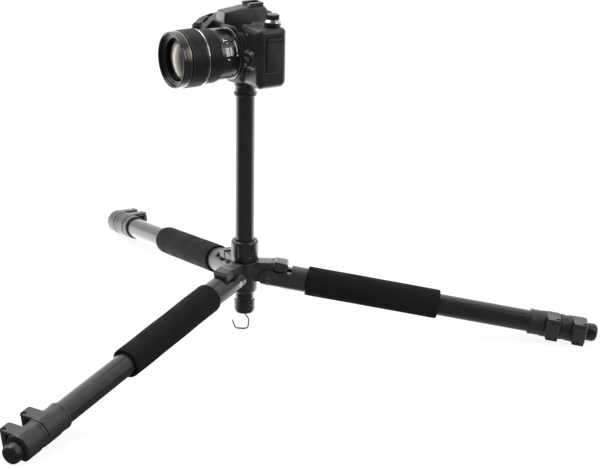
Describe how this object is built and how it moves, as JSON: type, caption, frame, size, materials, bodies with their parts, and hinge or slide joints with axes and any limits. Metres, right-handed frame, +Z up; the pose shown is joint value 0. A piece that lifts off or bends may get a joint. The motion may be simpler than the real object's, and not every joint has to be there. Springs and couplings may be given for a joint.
{
  "type": "digital reflex camera on a low-spread tripod",
  "caption": "Digital reflex camera with a zoom lens on the centre column of a tripod that stands low, with its legs spread almost flat.",
  "frame": {"origin": "centre of the bounding box on the floor that the feet stand on", "axes": "+Z up along the centre column; one leg points along -Y, the other two along 30 and 150 degrees from +X; +X is the longest extent"},
  "size_m": [0.8216, 0.7203, 0.4486],
  "materials": {
    "casting": "dark grey satin paint on a die casting",
    "black_tube": "black anodised, satin",
    "foam": "matte black closed-cell foam",
    "foot_rubber": "matte black rubber",
    "lock_plastic": "dark grey moulded nylon",
    "lever_plastic": "dark grey moulded nylon",
    "latch_metal": "mid grey, ribbed",
    "bare_steel": "bare steel",
    "bright_steel": "bright wire",
    "black_steel": "black oxide",
    "hub_plastic": "satin black",
    "bushing_plastic": "acetal",
    "camera_shell": "fine-grained black",
    "camera_rubber": "leather-grained rubber",
    "screen_glass": "dark glossy display cover",
    "lens_shell": "satin black",
    "lens_glass": "coated lens glass"
  },
  "bodies": {
    "hub": {"hub_casting": "casting", "pivot_bolts": "black_steel"},
    "bushing": {"column_bushing": "bushing_plastic"},
    "column": {"column_tube": "black_tube", "camera_plate": "hub_plastic", "camera_screw": "bare_steel", "end_cap": "hub_plastic", "camera_body": "camera_shell", "top_cover": "camera_shell", "grip_skin": "camera_rubber", "rear_screen": "screen_glass", "eyecup": "camera_rubber", "hot_shoe": "bare_steel", "lens_barrel": "lens_shell"},
    "collar": {"twist_collar": "hub_plastic"},
    "hook": {"weight_hook": "bright_steel"},
    "leg_a": {"leg_top_a": "casting", "upper_tube_a": "black_tube", "foam_grip_a": "foam", "lock_upper_a": "lock_plastic"},
    "latch_a": {"angle_latch_a": "latch_metal"},
    "upper_lever_a": {"lever_upper_a": "lever_plastic"},
    "middle_a": {"mid_tube_a": "black_tube", "lock_lower_a": "lock_plastic"},
    "lower_lever_a": {"lever_lower_a": "lever_plastic"},
    "lower_a": {"lower_tube_a": "black_tube", "foot_a": "foot_rubber"},
    "leg_b": {"leg_top_b": "casting", "upper_tube_b": "black_tube", "foam_grip_b": "foam", "lock_upper_b": "lock_plastic"},
    "latch_b": {"angle_latch_b": "latch_metal"},
    "upper_lever_b": {"lever_upper_b": "lever_plastic"},
    "middle_b": {"mid_tube_b": "black_tube", "lock_lower_b": "lock_plastic"},
    "lower_lever_b": {"lever_lower_b": "lever_plastic"},
    "lower_b": {"lower_tube_b": "black_tube", "foot_b": "foot_rubber"},
    "leg_c": {"leg_top_c": "casting", "upper_tube_c": "black_tube", "foam_grip_c": "foam", "lock_upper_c": "lock_plastic"},
    "latch_c": {"angle_latch_c": "latch_metal"},
    "upper_lever_c": {"lever_upper_c": "lever_plastic"},
    "middle_c": {"mid_tube_c": "black_tube", "lock_lower_c": "lock_plastic"},
    "lower_lever_c": {"lever_lower_c": "lever_plastic"},
    "lower_c": {"lower_tube_c": "black_tube", "foot_c": "foot_rubber"},
    "flash": {"pop_flash": "camera_shell"},
    "modes": {"mode_dial": "camera_shell"},
    "shutter": {"shutter_button": "camera_shell"},
    "finger_wheel": {"main_dial": "camera_shell"},
    "rear_wheel": {"rear_dial": "camera_shell"},
    "port_flap": {"port_cover": "camera_rubber"},
    "release": {"lens_release": "camera_shell"},
    "zoom": {"zoom_ring": "camera_rubber"},
    "focus": {"focus_ring": "camera_rubber"},
    "front": {"front_barrel": "lens_shell", "front_glass": "lens_glass"}
  },
  "joints": [
    {"name": "column_pan", "type": "hinge", "parent": "hub", "child": "bushing", "pos_m": [0, 0.10984, 0.08796], "axis": [0, 0, 1], "continuous": true},
    {"name": "column_slide", "type": "slide", "parent": "bushing", "child": "column", "axis": [0, 0, 1], "range_m": [-0.18, 0.01]},
    {"name": "collar_twist", "type": "hinge", "parent": "hub", "child": "collar", "pos_m": [0, 0.10984, 0.08796], "axis": [0, 0, 1], "range_deg": [-60, 0]},
    {"name": "hook_swivel", "type": "hinge", "parent": "column", "child": "hook", "pos_m": [0, 0.10984, 0.02796], "axis": [0, 0, 1], "continuous": true},
    {"name": "leg_fold_a", "type": "hinge", "parent": "hub", "child": "leg_a", "pos_m": [0.02771, 0.12584, 0.07996], "axis": [-0.5, 0.866, 0], "range_deg": [0, 80.7]},
    {"name": "latch_pull_a", "type": "slide", "parent": "leg_a", "child": "latch_a", "axis": [0.8546, 0.4934, -0.1616], "range_m": [0, 0.005], "stiffness_N_per_m": 200, "springref_m": -0.003},
    {"name": "upper_lever_swing_a", "type": "hinge", "parent": "leg_a", "child": "upper_lever_a", "pos_m": [0.36892, 0.29686, 0.02033], "axis": [0.14, 0.0808, 0.9869], "range_deg": [0, 110]},
    {"name": "middle_slide_a", "type": "slide", "parent": "leg_a", "child": "middle_a", "axis": [0.8546, 0.4934, -0.1616], "range_m": [0, 0.26]},
    {"name": "lower_lever_swing_a", "type": "hinge", "parent": "middle_a", "child": "lower_lever_a", "pos_m": [0.39909, 0.31428, 0.01462], "axis": [0.14, 0.0808, 0.9869], "range_deg": [0, 110]},
    {"name": "lower_slide_a", "type": "slide", "parent": "middle_a", "child": "lower_a", "axis": [0.8546, 0.4934, -0.1616], "range_m": [0, 0.28]},
    {"name": "leg_fold_b", "type": "hinge", "parent": "hub", "child": "leg_b", "pos_m": [0, 0.07784, 0.07996], "axis": [1, 0, 0], "range_deg": [0, 80.7]},
    {"name": "latch_pull_b", "type": "slide", "parent": "leg_b", "child": "latch_b", "axis": [0, -0.9869, -0.1616], "range_m": [0, 0.005], "stiffness_N_per_m": 200, "springref_m": -0.003},
    {"name": "upper_lever_swing_b", "type": "hinge", "parent": "leg_b", "child": "upper_lever_b", "pos_m": [-0.0225, -0.30316, 0.02033], "axis": [0, -0.1616, 0.9869], "range_deg": [0, 110]},
    {"name": "middle_slide_b", "type": "slide", "parent": "leg_b", "child": "middle_b", "axis": [0, -0.9869, -0.1616], "range_m": [0, 0.26]},
    {"name": "lower_lever_swing_b", "type": "hinge", "parent": "middle_b", "child": "lower_lever_b", "pos_m": [-0.0225, -0.33799, 0.01462], "axis": [0, -0.1616, 0.9869], "range_deg": [0, 110]},
    {"name": "lower_slide_b", "type": "slide", "parent": "middle_b", "child": "lower_b", "axis": [0, -0.9869, -0.1616], "range_m": [0, 0.28]},
    {"name": "leg_fold_c", "type": "hinge", "parent": "hub", "child": "leg_c", "pos_m": [-0.02771, 0.12584, 0.07996], "axis": [-0.5, -0.866, 0], "range_deg": [0, 80.7]},
    {"name": "latch_pull_c", "type": "slide", "parent": "leg_c", "child": "latch_c", "axis": [-0.8546, 0.4934, -0.1616], "range_m": [0, 0.005], "stiffness_N_per_m": 200, "springref_m": -0.003},
    {"name": "upper_lever_swing_c", "type": "hinge", "parent": "leg_c", "child": "upper_lever_c", "pos_m": [-0.34642, 0.33583, 0.02033], "axis": [-0.14, 0.0808, 0.9869], "range_deg": [0, 110]},
    {"name": "middle_slide_c", "type": "slide", "parent": "leg_c", "child": "middle_c", "axis": [-0.8546, 0.4934, -0.1616], "range_m": [0, 0.26]},
    {"name": "lower_lever_swing_c", "type": "hinge", "parent": "middle_c", "child": "lower_lever_c", "pos_m": [-0.37659, 0.35325, 0.01462], "axis": [-0.14, 0.0808, 0.9869], "range_deg": [0, 110]},
    {"name": "lower_slide_c", "type": "slide", "parent": "middle_c", "child": "lower_c", "axis": [-0.8546, 0.4934, -0.1616], "range_m": [0, 0.28]},
    {"name": "flash_lift", "type": "hinge", "parent": "column", "child": "flash", "pos_m": [-0.00218, 0.10534, 0.43696], "axis": [-0.9003, 0.4352, 0], "range_deg": [0, 70]},
    {"name": "mode_turn", "type": "hinge", "parent": "column", "child": "modes", "pos_m": [0.04664, 0.10063, 0.42296], "axis": [0, 0, 1], "range_deg": [-150, 150]},
    {"name": "shutter_press", "type": "slide", "parent": "column", "child": "shutter", "axis": [0, 0, -1], "range_m": [0, 0.0012], "stiffness_N_per_m": 600, "springref_m": -0.001},
    {"name": "finger_wheel_turn", "type": "hinge", "parent": "column", "child": "finger_wheel", "pos_m": [-0.06678, 0.11991, 0.40976], "axis": [0.9003, -0.4352, 0], "continuous": true},
    {"name": "rear_wheel_turn", "type": "hinge", "parent": "column", "child": "rear_wheel", "pos_m": [-0.04447, 0.158, 0.37746], "axis": [0.4352, 0.9003, 0], "continuous": true},
    {"name": "port_flap_open", "type": "hinge", "parent": "column", "child": "port_flap", "pos_m": [0.06359, 0.09743, 0.39046], "axis": [0, 0, 1], "range_deg": [0, 100]},
    {"name": "release_press", "type": "slide", "parent": "column", "child": "release", "axis": [0.4352, 0.9003, 0], "range_m": [0, 0.002], "stiffness_N_per_m": 500, "springref_m": -0.001},
    {"name": "zoom_turn", "type": "hinge", "parent": "column", "child": "zoom", "pos_m": [-0.01088, 0.08734, 0.38296], "axis": [-0.4352, -0.9003, 0], "range_deg": [0, 75]},
    {"name": "front_extend", "type": "slide", "parent": "column", "child": "front", "axis": [-0.4352, -0.9003, 0], "range_m": [0, 0.022]},
    {"name": "focus_turn", "type": "hinge", "parent": "column", "child": "focus", "pos_m": [-0.01088, 0.08734, 0.38296], "axis": [-0.4352, -0.9003, 0], "range_deg": [-45, 45]}
  ],
  "couplings": [
    {"joint": "zoom_turn", "follows": "front_extend", "rad_per_m": 59.49}
  ]
}
